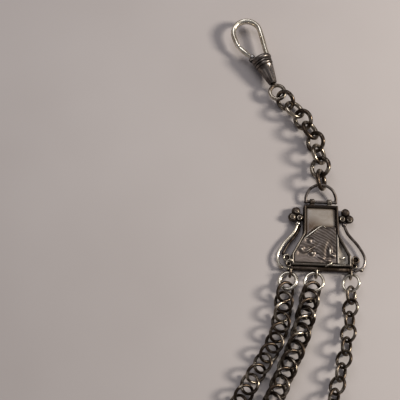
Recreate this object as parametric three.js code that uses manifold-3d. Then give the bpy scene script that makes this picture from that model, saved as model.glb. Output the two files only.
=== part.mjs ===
// Pocket watch chain: swivel clasp, upper chain, bail, keystone plaque, three strands, collector ring, T-bar.
// Millimetres. The plaque's back face is z = 0 and its middle is the origin; +Y runs towards the swivel.
import * as THREE from 'three';
import { mergeVertices } from 'three/addons/utils/BufferGeometryUtils.js';
import Module from 'manifold-3d';

const wasm = await Module();
wasm.setup();

// Driving dimensions.
const GAP = 0.06; // between fixed neighbours
const PLAY = 0.15; // between moving neighbours

const PLAQUE = {
  top: 9.6, waist: 0.6, hip: -5.8, bottom: -9.2, halfTop: 5.2, halfWaist: 5.4, halfBottom: 8.9,
  backThickness: 0.8, bezelTop: 2.6, rim: 0.8, stoneTop: 1.9, coverTop: 2.4,
};
// The cover plate's top edge rises from the left, then runs level; its right edge is straight.
const COVER = { leftY: -1.1, rightY: 2.9, bendX: -0.4, rightX: 4.42 };
const WING = { railWidth: 0.7, top: 1.6 }; // right of the cover plate: an upright rail, then a sunken wing

const RAIL = { radius: 0.75, halfLength: 9.3, y: -10.02, z: 1.4 };
const LOOP = { radius: 1.4, wire: 0.7, foot: 0.15, tip: -12.9, z: 2.05 };
const RING_LEVEL = -12.3; // hinge line between the loops and the jump rings

const BAIL = { halfWidth: 4.5, barY: 10.75, barZ: 1.5, length: 5.3, wire: 0.95, tilt: 15 };
const KNUCKLE = { x: 2.6, radius: 0.95, length: 1.3 };

const UPPER = { diameter: 7.1, wire: 1.4, spacing: 4.14, height: 3.25 };
// Heading and roll of each upper link, from the bail to the swivel.
const UPPER_HEADINGS = [92, 93, 99, 108, 118, 127, 132, 134];
const UPPER_ROLLS = [-60, 36, -46, 48, -43, 52, -33, 58];

const EYE = { diameter: 5.9, wire: 1.3, shankRadius: 0.6 };
const SWIVEL = { heading: 115, height: 3.3 };
const BARREL = {
  tip: 3.2, tipRadius: 1.3, shoulder: 9.3, shoulderRadius: 2.65, mouth: 12.9, lip: 3.25, flutes: 8,
};
const BOW = { wire: 1.6, centreX: -0.5, centreY: 22.2, radius: 4.3, noseY: 19.3, footX: 2.35 };
const GATE = { hingeX: -2.55, hingeY: 13.7, tipX: -4.95, tipY: 19.0, width: 1.5, knuckle: 0.8, half: 0.5 };
const EAR = { thickness: 0.45, offset: 0.95 };
const RIVET_RADIUS = 0.32;

// Levels at which the three strands bend together, and where each strand crosses them.
const LEVELS = [-15.9, -30.9, -45.9, -60.9, -75.9];
const COLLECTOR = { x: -22.8, y: -82.15, z: 2.9, diameter: 10, wire: 1.4 };
const STRANDS = [
  {
    name: 'left', loopX: -9.4, diameter: 6.6, wire: 1.0, rolls: [36, -36], counts: [5, 5, 5, 5],
    across: [-10.6, -13.2, -21.7, -28.5, -29.5], height: 2.25, contact: 160,
    tail: { count: 2, diameter: 5.4, roll: 64 },
    ring: { diameter: 6.3, wire: 1.25, roll: -20 },
  },
  {
    name: 'middle', loopX: -1.7, diameter: 7.0, wire: 1.15, rolls: [36, -36], counts: [6, 6, 6, 6],
    across: [-2.9, -6.7, -12.9, -18.6, -22.5], height: 2.35, contact: 90,
    tail: { count: 1, diameter: 4.95, roll: 64 },
    ring: { diameter: 6.4, wire: 0.95, roll: -12 },
  },
  {
    name: 'right', loopX: 8.5, diameter: 5.8, wire: 1.0, rolls: [52, -46], counts: [4, 4, 5, 5],
    across: [8.7, 7.2, 3.5, -2.5, -14.9], height: 2.45, contact: 20,
    tail: { count: 2, diameter: 5.2, roll: 64 },
    ring: { diameter: 5.9, wire: 0.9, roll: -30 },
  },
];

const END_LINK = { diameter: 5.4, wire: 1.05, spacing: 3.15 };
const END_ROLLS = [66, -18];
const T_BAR = { halfLength: 14, radius: 1.0, ball: 1.7, collar: 1.5, eyeRadius: 1.6, eyeWire: 0.95, z: 1.72 };

const SILVER = { color: 0x9a9184, metalness: 0.9, roughness: 0.38 };
const BRIGHT = { color: 0xc9bfac, metalness: 0.92, roughness: 0.3 };
const DARK = { color: 0x5b5349, metalness: 0.85, roughness: 0.5 };
const STEEL = { color: 0x8b8a88, metalness: 0.95, roughness: 0.35 };
const STONE = { color: 0x9c9186, metalness: 0.0, roughness: 0.35 };

const chain = new THREE.Group();
const radians = THREE.MathUtils.degToRad;

function addMesh(parent, name, geometry, look) {
  const mesh = new THREE.Mesh(geometry, new THREE.MeshStandardMaterial(look));
  mesh.name = name;
  parent.add(mesh);
  return mesh;
}

// Solids for boolean joins and cuts.
function solidOf(geometry) {
  const bare = geometry.clone();
  bare.deleteAttribute('normal');
  bare.deleteAttribute('uv');
  const merged = mergeVertices(bare, 1e-4);
  return new wasm.Manifold(new wasm.Mesh({
    numProp: 3,
    vertProperties: Float32Array.from(merged.attributes.position.array),
    triVerts: Uint32Array.from(merged.index.array),
  }));
}

function geometryOf(solid) {
  const mesh = solid.getMesh();
  const geometry = new THREE.BufferGeometry();
  geometry.setAttribute('position', new THREE.BufferAttribute(Float32Array.from(mesh.vertProperties), 3));
  geometry.setIndex(new THREE.BufferAttribute(Uint32Array.from(mesh.triVerts), 1));
  geometry.computeVertexNormals();
  return geometry;
}

function joined(geometries) {
  return geometries.map(solidOf).reduce((whole, piece) => whole.add(piece));
}

function outline(points) {
  return new THREE.Shape(points.map(([x, y]) => new THREE.Vector2(x, y)));
}

function slab(shape, from, to) {
  return new THREE.ExtrudeGeometry(shape, { depth: to - from, bevelEnabled: false }).translate(0, 0, from);
}

function circle(radius, sides) {
  const points = [];
  for (let k = 0; k < sides; k += 1) {
    const angle = (2 * Math.PI * k) / sides;
    points.push([radius * Math.cos(angle), radius * Math.sin(angle)]);
  }
  return outline(points);
}

function rod(curve, radius, steps, sides = 8) {
  return new THREE.ExtrudeGeometry(circle(radius, sides), { steps, extrudePath: curve });
}

function curveThrough(points) {
  return new THREE.CatmullRomCurve3(points.map((p) => new THREE.Vector3(...p)));
}

// A round or oval wire ring lying in its own XY plane, longest along X.
function wireRing(along, across, wire, segments, sides) {
  const ring = new THREE.TorusGeometry(across, wire / 2, sides, segments);
  return ring.scale(along / across, 1, 1);
}

// Axes of a link whose length runs from one pivot to the next, rolled about that line.
function linkFrame(from, to, roll) {
  const ahead = to.clone().sub(from).normalize();
  const side = new THREE.Vector3(0, 0, 1).cross(ahead).normalize();
  const above = ahead.clone().cross(side);
  const normal = above.multiplyScalar(Math.cos(radians(roll))).addScaledVector(side, Math.sin(radians(roll)));
  const across = normal.clone().cross(ahead);
  const centre = from.clone().add(to).multiplyScalar(0.5);
  return new THREE.Matrix4().makeBasis(ahead, across, normal).setPosition(centre);
}

function placeLink(mesh, from, to, roll) {
  linkFrame(from, to, roll).decompose(mesh.position, mesh.quaternion, mesh.scale);
}

function looseLink(name, diameter, wire, from, to, roll, look, segments = 16) {
  const radius = (diameter - wire) / 2;
  const mesh = addMesh(chain, name, wireRing(radius, radius, wire, segments, 6), look);
  placeLink(mesh, from, to, roll);
}

// Half-width of the keystone outline at a height y, less an inset.
function halfWidth(y, inset = 0) {
  const { top, waist, hip, halfTop, halfWaist, halfBottom } = PLAQUE;
  const upper = THREE.MathUtils.mapLinear(Math.max(y, waist), top, waist, halfTop, halfWaist);
  const below = Math.max(Math.min(y, waist), hip);
  const flare = THREE.MathUtils.mapLinear(below, waist, hip, 0, halfBottom - halfWaist);
  return upper + flare - inset;
}

// The plaque's outline from its foot up to a height, mirrored about its middle.
function keystone(inset) {
  const heights = [PLAQUE.bottom + inset, PLAQUE.hip, PLAQUE.waist, PLAQUE.top - inset];
  const right = heights.map((y) => [halfWidth(y, inset), y]);
  const left = right.map(([x, y]) => [-x, y]).reverse();
  return [...right, ...left];
}

function addPlaque() {
  const floor = PLAQUE.backThickness + GAP;
  addMesh(chain, 'back_plate', slab(outline(keystone(0)), 0, PLAQUE.backThickness), DARK);

  const bezel = outline(keystone(0));
  bezel.holes.push(outline(keystone(PLAQUE.rim)));
  addMesh(chain, 'bezel', slab(bezel, floor, PLAQUE.bezelTop), SILVER);

  const inset = PLAQUE.rim + GAP;
  const high = PLAQUE.top - inset;
  const low = PLAQUE.bottom + inset;
  const { leftY, rightY, bendX } = COVER;
  const edge = (y) => halfWidth(y, inset);
  const stone = outline([
    [-edge(leftY + GAP), leftY + GAP], [bendX, rightY + GAP], [edge(rightY), rightY + GAP],
    [edge(high), high], [-edge(high), high], [-edge(PLAQUE.waist), PLAQUE.waist],
  ]);
  addMesh(chain, 'stone_inlay', slab(stone, floor, PLAQUE.stoneTop), STONE);

  const cover = outline([
    [-edge(low), low], [COVER.rightX, low], [COVER.rightX, rightY - GAP], [bendX, rightY - GAP],
    [-edge(leftY - GAP), leftY - GAP], [-edge(PLAQUE.hip), PLAQUE.hip],
  ]);
  const boss = new THREE.SphereGeometry(1, 12, 8).scale(2.2, 1.3, 0.75).rotateZ(radians(-10));
  const bosses = [[-4.6, -5.2], [2.1, -5.4]].map(([x, y]) => boss.clone().translate(x, y, PLAQUE.coverTop));
  const plate = slab(cover, floor, PLAQUE.coverTop);
  addMesh(chain, 'cover_plate', geometryOf(joined([plate, ...bosses])), DARK);

  // The rail and the wing are cut off along the bezel's flared side.
  const slope = (edge(PLAQUE.hip) - edge(PLAQUE.waist)) / (PLAQUE.waist - PLAQUE.hip);
  const flared = (x) => PLAQUE.waist - (x - edge(PLAQUE.waist)) / slope;
  const railLeft = COVER.rightX + GAP;
  const railRight = railLeft + WING.railWidth;
  const rail = outline([
    [railLeft, low], [railRight, low], [railRight, flared(railRight + GAP)], [railLeft, PLAQUE.waist],
  ]);
  addMesh(chain, 'wing_rail', slab(rail, floor, PLAQUE.bezelTop), SILVER);
  const wing = outline([
    [railRight + GAP, low], [edge(low), low], [edge(PLAQUE.hip), PLAQUE.hip],
    [railRight + GAP, flared(railRight + GAP)],
  ]);
  addMesh(chain, 'wing_right', slab(wing, floor, WING.top), SILVER);
}

function addPlaqueTrim() {
  for (const [side, hand] of [['left', -1], ['right', 1]]) {
    const beads = [[0, 1.25], [-1.1, -0.65], [1.1, -0.65]].map(([x, y]) => (
      new THREE.SphereGeometry(1.35, 10, 6).translate(hand * 7.45 + x, 6.3 + y, 1.45)
    ));
    addMesh(chain, `trefoil_${side}`, geometryOf(joined(beads).subtract(solidOf(
      slab(outline(keystone(-GAP)), -1, 4),
    ))), DARK);

    const wire = curveThrough([
      [hand * 6.95, 3.7, 1.5], [hand * 8.2, 0.9, 1.5], [hand * 11.0, -2.4, 1.5], [hand * 12.8, -5.5, 1.5],
      [hand * 13.0, -7.6, 1.5], [hand * 12.2, -9.4, 1.5], [hand * 9.95, -10.3, 1.5],
    ]);
    addMesh(chain, `side_wire_${side}`, rod(wire, 0.5, 18, 6), BRIGHT);

    const curl = new THREE.TorusGeometry(0.85, 0.45, 6, 12).translate(hand * 10.3, -6.9, 1.5);
    addMesh(chain, `corner_curl_${side}`, curl, SILVER);
  }
}

function addRailAndLoops() {
  const rail = new THREE.CylinderGeometry(RAIL.radius, RAIL.radius, 2 * RAIL.halfLength, 12);
  addMesh(chain, 'bottom_rail', rail.rotateZ(Math.PI / 2).translate(0, RAIL.y, RAIL.z), DARK);

  const start = RAIL.y - RAIL.radius - GAP;
  const bend = LOOP.tip + LOOP.radius;
  for (const strand of STRANDS) {
    const arc = [[start, LOOP.radius], [bend, LOOP.radius]];
    for (let k = 1; k < 6; k += 1) {
      const angle = (Math.PI * k) / 6;
      arc.push([bend - LOOP.radius * Math.sin(angle), LOOP.radius * Math.cos(angle)]);
    }
    arc.push([bend, -LOOP.radius], [start, -LOOP.radius]);
    const path = curveThrough(arc.map(([y, z]) => [strand.loopX, y, LOOP.z + z]));
    const foot = new THREE.BoxGeometry(1.3, LOOP.foot, 2 * LOOP.radius + LOOP.wire);
    foot.translate(strand.loopX, start - LOOP.foot / 2, LOOP.z);
    const loop = joined([rod(path, LOOP.wire / 2, 14, 6), foot]);
    addMesh(chain, `strand_loop_${strand.name}`, geometryOf(loop), SILVER);
  }
}

function addBail() {
  const bar = new THREE.CylinderGeometry(BAIL.wire / 2, BAIL.wire / 2, 2 * BAIL.halfWidth, 8);
  bar.rotateZ(Math.PI / 2);
  const hoop = curveThrough([
    [-BAIL.halfWidth, 0, 0], [-BAIL.halfWidth, 1.6, 0], [-3.5, 3.7, 0], [-1.7, 4.95, 0], [0, BAIL.length, 0],
    [1.7, 4.95, 0], [3.5, 3.7, 0], [BAIL.halfWidth, 1.6, 0], [BAIL.halfWidth, 0, 0],
  ]);
  const ends = [-1, 1].map((hand) => new THREE.SphereGeometry(BAIL.wire / 2 + 0.08, 8, 6)
    .translate(hand * BAIL.halfWidth, 0, 0));
  const whole = joined([bar, rod(hoop, BAIL.wire / 2, 16, 6), ...ends]);
  const bail = addMesh(chain, 'bail', geometryOf(whole), DARK);
  bail.position.set(0, BAIL.barY, BAIL.barZ);
  bail.rotation.x = radians(BAIL.tilt);

  for (const [side, hand] of [['left', -1], ['right', 1]]) {
    const across = (radius, length) => solidOf(
      new THREE.CylinderGeometry(radius, radius, length, 14).rotateZ(Math.PI / 2),
    );
    const barrel = across(KNUCKLE.radius, KNUCKLE.length);
    const leaf = new THREE.BoxGeometry(KNUCKLE.length, 1.2, 1.2).translate(0, -0.45, -0.2);
    const knuckle = barrel.add(solidOf(leaf)).subtract(across(BAIL.wire / 2 + PLAY / 2, 4));
    const kept = knuckle.translate(hand * KNUCKLE.x, BAIL.barY, BAIL.barZ)
      .subtract(solidOf(slab(outline(keystone(-GAP)), -1, 4)));
    addMesh(chain, `bail_knuckle_${side}`, geometryOf(kept), SILVER);
  }
}

// Pivots of the upper chain, from the bail's top to the swivel's eye.
function upperPivots() {
  const tilt = radians(BAIL.tilt);
  const inside = BAIL.length - (BAIL.wire + UPPER.wire) / 4 - PLAY / 2;
  const pivots = [new THREE.Vector3(0, BAIL.barY + inside * Math.cos(tilt), UPPER.height)];
  for (const heading of UPPER_HEADINGS) {
    const step = new THREE.Vector3(Math.cos(radians(heading)), Math.sin(radians(heading)), 0);
    pivots.push(pivots.at(-1).clone().addScaledVector(step, UPPER.spacing));
  }
  return pivots;
}

function addUpperChain() {
  const pivots = upperPivots();
  UPPER_ROLLS.forEach((roll, k) => {
    looseLink(`upper_link_${k + 1}`, UPPER.diameter, UPPER.wire, pivots[k], pivots[k + 1], roll, SILVER);
  });
}

// The eye's middle, past the last pivot of the upper chain.
function eyeCentre() {
  const inside = (EYE.diameter - EYE.wire) / 2 - (EYE.wire + UPPER.wire) / 4 - PLAY / 2;
  const heading = radians(UPPER_HEADINGS.at(-1));
  const last = upperPivots().at(-1).setZ(SWIVEL.height);
  return last.add(new THREE.Vector3(Math.cos(heading), Math.sin(heading), 0).multiplyScalar(inside));
}

function turned(profile, segments) {
  return new THREE.LatheGeometry(profile.map(([r, y]) => new THREE.Vector2(r, y)), segments);
}

// The clasp lies along its own +Y, with the eye's middle as its origin.
function addSwivel() {
  const clasp = new THREE.Group();
  clasp.position.copy(eyeCentre());
  clasp.rotation.z = radians(SWIVEL.heading - 90);
  chain.add(clasp);

  const eyeRadius = (EYE.diameter - EYE.wire) / 2;
  const shank = turned([[0, eyeRadius + 0.2], [EYE.shankRadius, eyeRadius + 0.2], [EYE.shankRadius, 4.6],
    [1.05, 4.75], [1.05, 5.3], [0, 5.4]], 10);
  const eye = joined([wireRing(eyeRadius, eyeRadius, EYE.wire, 18, 6), shank]);
  addMesh(clasp, 'swivel_eye', geometryOf(eye), SILVER);

  addBarrel(clasp);
  addBow(clasp);
  addGate(clasp);
}

function addBarrel(clasp) {
  const outer = turned([[0, BARREL.tip], [BARREL.tipRadius, BARREL.tip], [1.5, 4.2], [1.95, 6.4],
    [BARREL.shoulderRadius, BARREL.shoulder], [2.5, 9.6], [2.85, 9.85], [2.85, 10.2], [2.55, 10.4],
    [2.95, 10.65], [2.95, 11.05], [2.65, 11.25], [BARREL.lip, 11.7], [BARREL.lip, 12.4],
    [2.95, BARREL.mouth], [0, BARREL.mouth]], 16);
  const bore = turned([[0, 2], [EYE.shankRadius + PLAY, 2], [EYE.shankRadius + PLAY, 4.45], [1.2, 4.6],
    [1.2, 5.6], [0, 5.9]], 10);
  let barrel = solidOf(outer).subtract(solidOf(bore));
  for (let k = 0; k < BARREL.flutes; k += 1) {
    const flute = new THREE.CylinderGeometry(0.62, 0.3, BARREL.shoulder - 3.9, 6);
    flute.rotateX(radians(11)).translate(0, 6.5, 2.5).rotateY((2 * Math.PI * (k + 0.5)) / BARREL.flutes);
    barrel = barrel.subtract(solidOf(flute));
  }
  const socket = new THREE.CylinderGeometry(BOW.wire / 2 + PLAY, BOW.wire / 2 + PLAY, 2, 10);
  barrel = barrel.subtract(solidOf(socket.translate(BOW.footX, BARREL.mouth, 0)));
  for (const side of [-1, 1]) {
    const ear = new THREE.CylinderGeometry(0.85, 0.85, EAR.thickness, 12).rotateX(Math.PI / 2);
    const web = new THREE.BoxGeometry(1.7, 1.4, EAR.thickness).translate(0, -0.7, 0);
    const plate = joined([ear, web]).translate(GATE.hingeX, GATE.hingeY, side * EAR.offset);
    barrel = barrel.add(plate);
  }
  const hole = new THREE.CylinderGeometry(RIVET_RADIUS + GAP, RIVET_RADIUS + GAP, 4, 10).rotateX(Math.PI / 2);
  barrel = barrel.subtract(solidOf(hole.translate(GATE.hingeX, GATE.hingeY, 0)));
  addMesh(clasp, 'swivel_barrel', geometryOf(barrel), DARK);
}

function addBow(clasp) {
  const points = [[BOW.footX, BARREL.mouth - 0.9, 0], [2.6, 14.8, 0], [3.25, 18.4, 0]];
  for (let angle = 0; angle <= 180; angle += 22.5) {
    const x = BOW.centreX + BOW.radius * Math.cos(radians(angle));
    points.push([x, BOW.centreY + BOW.radius * Math.sin(radians(angle)), 0]);
  }
  points.push([GATE.tipX, BOW.noseY, 0]);
  addMesh(clasp, 'swivel_bow', rod(curveThrough(points), BOW.wire / 2, 26), SILVER);
}

function addGate(clasp) {
  const along = new THREE.Vector2(GATE.tipX - GATE.hingeX, GATE.tipY - GATE.hingeY);
  const length = along.length();
  const heading = Math.atan2(along.y, along.x);
  const blade = new THREE.CylinderGeometry(GATE.width / 2, GATE.width / 2, length - 1.5, 10);
  blade.rotateZ(-Math.PI / 2).translate(1.4 + (length - 1.5) / 2, 0, 0);
  const neck = new THREE.BoxGeometry(1.8, 1.1, 2 * GATE.half).translate(0.9, 0, 0);
  const knuckle = new THREE.CylinderGeometry(GATE.knuckle, GATE.knuckle, 2 * GATE.half, 14);
  knuckle.rotateX(Math.PI / 2);
  const bore = new THREE.CylinderGeometry(RIVET_RADIUS + GAP, RIVET_RADIUS + GAP, 3, 10).rotateX(Math.PI / 2);
  const gate = joined([blade, neck, knuckle]).subtract(solidOf(bore));
  const mesh = addMesh(clasp, 'swivel_gate', geometryOf(gate), BRIGHT);
  mesh.position.set(GATE.hingeX, GATE.hingeY, 0);
  mesh.rotation.z = heading;

  const reach = EAR.offset + EAR.thickness / 2 + GAP;
  const pin = turned([[0, -reach - 0.3], [0.6, -reach - 0.3], [0.6, -reach], [RIVET_RADIUS, -reach],
    [RIVET_RADIUS, reach], [0.6, reach], [0.6, reach + 0.3], [0, reach + 0.3]], 10);
  addMesh(clasp, 'gate_rivet', pin.rotateX(Math.PI / 2).translate(GATE.hingeX, GATE.hingeY, 0), STEEL);

  const coil = new THREE.TorusGeometry(0.55, 0.075, 5, 14).translate(GATE.hingeX, GATE.hingeY, 0.61);
  addMesh(clasp, 'gate_spring', coil, STEEL);
}

// A strand's sideways place between two levels: a smooth cubic through its crossings.
function crossing(across, k, t) {
  const before = k > 0 ? across[k - 1] : 2 * across[0] - across[1];
  const after = k + 2 < across.length ? across[k + 2] : 2 * across.at(-1) - across.at(-2);
  const [a, b] = [across[k], across[k + 1]];
  const bend = 2 * before - 5 * a + 4 * b - after;
  const twist = 3 * a - before - 3 * b + after;
  return a + 0.5 * t * (b - before + t * (bend + t * twist));
}

// Pivots of one strand: a list for each stretch between two levels, then the tail to the collector.
function strandPivots(strand) {
  const stretches = strand.counts.map((count, k) => {
    const pivots = [];
    for (let step = 0; step <= count; step += 1) {
      const t = step / count;
      const y = LEVELS[k] + t * (LEVELS[k + 1] - LEVELS[k]);
      pivots.push(new THREE.Vector3(crossing(strand.across, k, t), y, strand.height));
    }
    return pivots;
  });
  const inside = (COLLECTOR.diameter - COLLECTOR.wire) / 2 - (COLLECTOR.wire + strand.wire) / 4 - 1.3 * PLAY;
  const angle = radians(strand.contact);
  const end = new THREE.Vector3(
    COLLECTOR.x + inside * Math.cos(angle), COLLECTOR.y + inside * Math.sin(angle), COLLECTOR.z,
  );
  const tail = [];
  for (let step = 0; step <= strand.tail.count; step += 1) {
    tail.push(stretches.at(-1).at(-1).clone().lerp(end, step / strand.tail.count));
  }
  return [...stretches, tail];
}

// Links of one stretch, joined where they touch; the ends keep their play to the next stretch.
function linkRun(strand, pivots, firstIndex, diameter, lastRoll) {
  const { wire } = strand;
  const across = (diameter - wire) / 2;
  const pieces = [];
  for (let k = 0; k + 1 < pivots.length; k += 1) {
    const spacing = pivots[k].distanceTo(pivots[k + 1]);
    const touching = 0.42 * wire;
    const near = spacing / 2 + (k === 0 ? (wire + PLAY) / 2 : touching);
    const far = spacing / 2 + (k + 2 === pivots.length ? (wire + PLAY) / 2 : touching);
    const last = k + 2 === pivots.length && lastRoll !== undefined;
    const alternate = strand.rolls[(firstIndex + k) % 2];
    const roll = last ? Math.sign(alternate) * lastRoll : alternate;
    const ring = wireRing((near + far) / 2, across, wire, 9, 4).translate((far - near) / 2, 0, 0);
    pieces.push(ring.applyMatrix4(linkFrame(pivots[k], pivots[k + 1], roll)));
    if (k > 0) {
      pieces.push(new THREE.OctahedronGeometry(0.85 * wire).rotateZ(0.4).translate(...pivots[k].toArray()));
    }
  }
  return geometryOf(joined(pieces));
}

function addStrand(strand) {
  const stretches = strandPivots(strand);
  const loop = new THREE.Vector3(strand.loopX, RING_LEVEL, LOOP.z);
  const { ring } = strand;
  looseLink(`jump_ring_${strand.name}`, ring.diameter, ring.wire, loop, stretches[0][0], ring.roll, BRIGHT);

  let index = 0;
  strand.counts.forEach((count, k) => {
    const links = linkRun(strand, stretches[k], index, strand.diameter);
    addMesh(chain, `${strand.name}_links_${k + 1}`, links, SILVER);
    index += count;
  });
  const { tail } = strand;
  const tailLinks = linkRun(strand, stretches.at(-1), index, tail.diameter, tail.roll);
  addMesh(chain, `${strand.name}_tail`, tailLinks, SILVER);
}

function addCollectorAndTBar() {
  const radius = (COLLECTOR.diameter - COLLECTOR.wire) / 2;
  const collector = addMesh(chain, 'collector_ring', wireRing(radius, radius, COLLECTOR.wire, 18, 6), BRIGHT);
  collector.position.set(COLLECTOR.x, COLLECTOR.y, COLLECTOR.z);

  const first = radius - (COLLECTOR.wire + END_LINK.wire) / 4 - PLAY / 2;
  const heights = [COLLECTOR.z, 2.35, T_BAR.z + 0.4];
  const pivots = heights.map((z, k) => (
    new THREE.Vector3(COLLECTOR.x, COLLECTOR.y - first - k * END_LINK.spacing, z)
  ));
  END_ROLLS.forEach((roll, k) => {
    looseLink(`end_link_${k + 1}`, END_LINK.diameter, END_LINK.wire, pivots[k], pivots[k + 1], roll, SILVER);
  });

  const eyeDrop = T_BAR.eyeRadius - (T_BAR.eyeWire + END_LINK.wire) / 4 - PLAY / 2;
  const eyeY = pivots[2].y - eyeDrop;
  const eye = new THREE.TorusGeometry(T_BAR.eyeRadius, T_BAR.eyeWire / 2, 6, 16).rotateY(Math.PI / 2);
  const eyeSolid = solidOf(eye).translate(COLLECTOR.x, eyeY, pivots[2].z);

  const half = [[T_BAR.collar, 0], [T_BAR.collar, 1.1], [T_BAR.radius, 1.5], [T_BAR.radius * 0.85, 11.2]];
  for (let angle = -52; angle <= 70; angle += 30.5) {
    const y = T_BAR.halfLength - T_BAR.ball + T_BAR.ball * Math.sin(radians(angle));
    half.push([T_BAR.ball * Math.cos(radians(angle)), y]);
  }
  const far = half.slice(1).reverse().map(([r, y]) => [r, -y]);
  const bar = turned([[0, -T_BAR.halfLength], ...far, ...half, [0, T_BAR.halfLength]], 12);
  const barY = eyeY - T_BAR.eyeRadius - T_BAR.collar + 0.25;
  const barSolid = solidOf(bar.rotateZ(Math.PI / 2).translate(COLLECTOR.x, barY, T_BAR.z));
  addMesh(chain, 't_bar', geometryOf(barSolid), BRIGHT);
  const fitted = eyeSolid.subtract(solidOf(
    new THREE.CylinderGeometry(T_BAR.collar + GAP, T_BAR.collar + GAP, 4, 24)
      .rotateZ(Math.PI / 2).translate(COLLECTOR.x, barY, T_BAR.z),
  ));
  addMesh(chain, 't_bar_eye', geometryOf(fitted), SILVER);
}

addPlaque();
addPlaqueTrim();
addRailAndLoops();
addBail();
addUpperChain();
addSwivel();
STRANDS.forEach(addStrand);
addCollectorAndTBar();

export default chain;
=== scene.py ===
"""Looks of the pocket watch chain, in millimetres until a mesh is made; the driving sizes repeat the CAD model's."""
import math
import random
import bpy
from mathutils import Matrix, Vector, noise


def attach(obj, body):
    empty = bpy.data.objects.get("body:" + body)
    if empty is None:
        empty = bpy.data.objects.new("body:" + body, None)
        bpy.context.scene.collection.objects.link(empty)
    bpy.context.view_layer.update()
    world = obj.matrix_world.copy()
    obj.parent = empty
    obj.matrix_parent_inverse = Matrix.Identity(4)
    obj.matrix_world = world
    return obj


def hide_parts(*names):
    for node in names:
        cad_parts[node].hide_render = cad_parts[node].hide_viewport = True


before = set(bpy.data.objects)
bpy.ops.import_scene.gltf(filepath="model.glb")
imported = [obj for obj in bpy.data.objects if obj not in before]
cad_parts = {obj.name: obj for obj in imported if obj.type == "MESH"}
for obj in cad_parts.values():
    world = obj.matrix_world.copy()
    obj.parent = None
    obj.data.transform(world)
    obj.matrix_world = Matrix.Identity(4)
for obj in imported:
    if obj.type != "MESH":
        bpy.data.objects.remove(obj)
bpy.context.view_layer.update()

MM = 0.001
PLAY = 0.15
GAP = 0.06          # between fixed neighbours
SEAT = 0.86         # where the pieces inside the bezel stand on the back plate
DRAWN_WIRE = 0.93   # rings and bail are drawn this much of their wire, which leaves room for the joints' motion
rng = random.Random(7)

# Driving sizes.
TOP, WAIST, HIP, BOTTOM = 9.6, 0.6, -5.8, -9.2
HALF_TOP, HALF_WAIST, HALF_BOTTOM = 5.2, 5.4, 8.9
RIM = 0.8
COVER_LEFT_Y, COVER_RIGHT_Y, COVER_BEND_X, COVER_RIGHT_X = -1.1, 2.9, -0.4, 4.42
COVER_TOP = 2.4
RAIL_Y, RAIL_Z, RAIL_RADIUS, RAIL_HALF = -10.02, 1.4, 0.75, 9.3
TREFOIL_X, TREFOIL_Y, KNUCKLE_X = 7.45, 6.3, 2.6
CURLS = [(10.3, -6.9, 0.95), (9.8, -8.75, 0.72)]     # middle x, middle y and size
LOOP_RADIUS, LOOP_WIRE, LOOP_TIP, LOOP_Z, RING_LEVEL = 1.4, 0.7, -12.9, 2.05, -12.3
BAIL_Y, BAIL_Z, BAIL_LENGTH, BAIL_HALF, BAIL_WIRE, BAIL_TILT = 10.75, 1.5, 5.3, 4.5, 0.95, 15
UPPER_DIAMETER, UPPER_WIRE, UPPER_SPACING, UPPER_HEIGHT = 7.1, 1.4, 4.14, 3.25
UPPER_HEADINGS = [92, 93, 99, 108, 118, 127, 132, 134]
UPPER_ROLLS = [-60, 36, -46, 48, -43, 52, -33, 58]
EYE_DIAMETER, EYE_WIRE = 5.9, 1.3
SWIVEL_HEADING, SWIVEL_HEIGHT = 115, 3.3
FLUTES = 8
BOW_WIRE, BOW_X, BOW_Y, BOW_RADIUS, NOSE_Y, FOOT_X, MOUTH = 1.6, -0.5, 22.2, 4.3, 19.3, 2.35, 12.9
HINGE_X, HINGE_Y, TIP_X, TIP_Y = -2.55, 13.7, -4.95, 19.0
LEVELS = [-15.9, -30.9, -45.9, -60.9, -75.9]
COLLECTOR, COLLECTOR_DIAMETER, COLLECTOR_WIRE = Vector((-22.8, -82.15, 2.9)), 10, 1.4
STRANDS = {
    "left": dict(loop=-9.4, diameter=6.6, wire=1.0, rolls=(36, -36), lean=14, counts=[5, 5, 5, 5], height=2.25,
                 across=[-10.6, -13.2, -21.7, -28.5, -29.5], tail=(2, 5.4, 64), contact=160, ring=(6.3, 1.25, -20)),
    "middle": dict(loop=-1.7, diameter=7.0, wire=1.15, rolls=(36, -36), lean=20, counts=[6, 6, 6, 6], height=2.35,
                   across=[-2.9, -6.7, -12.9, -18.6, -22.5], tail=(1, 4.95, 64), contact=90, ring=(6.4, 0.95, -12)),
    "right": dict(loop=8.5, diameter=5.8, wire=1.0, rolls=(52, -46), lean=0, counts=[4, 4, 5, 5], height=2.45,
                  across=[8.7, 7.2, 3.5, -2.5, -14.9], tail=(2, 5.2, 64), contact=20, ring=(5.9, 0.9, -30)),
}
END_DIAMETER, END_WIRE, END_SPACING, END_ROLLS = 5.4, 1.05, 3.15, [66, -18]
BAR_HALF, BAR_RADIUS, BAR_BALL, BAR_COLLAR, BAR_EYE, BAR_EYE_WIRE, BAR_Z = 14, 1.0, 1.7, 1.5, 1.6, 0.95, 1.72


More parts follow.
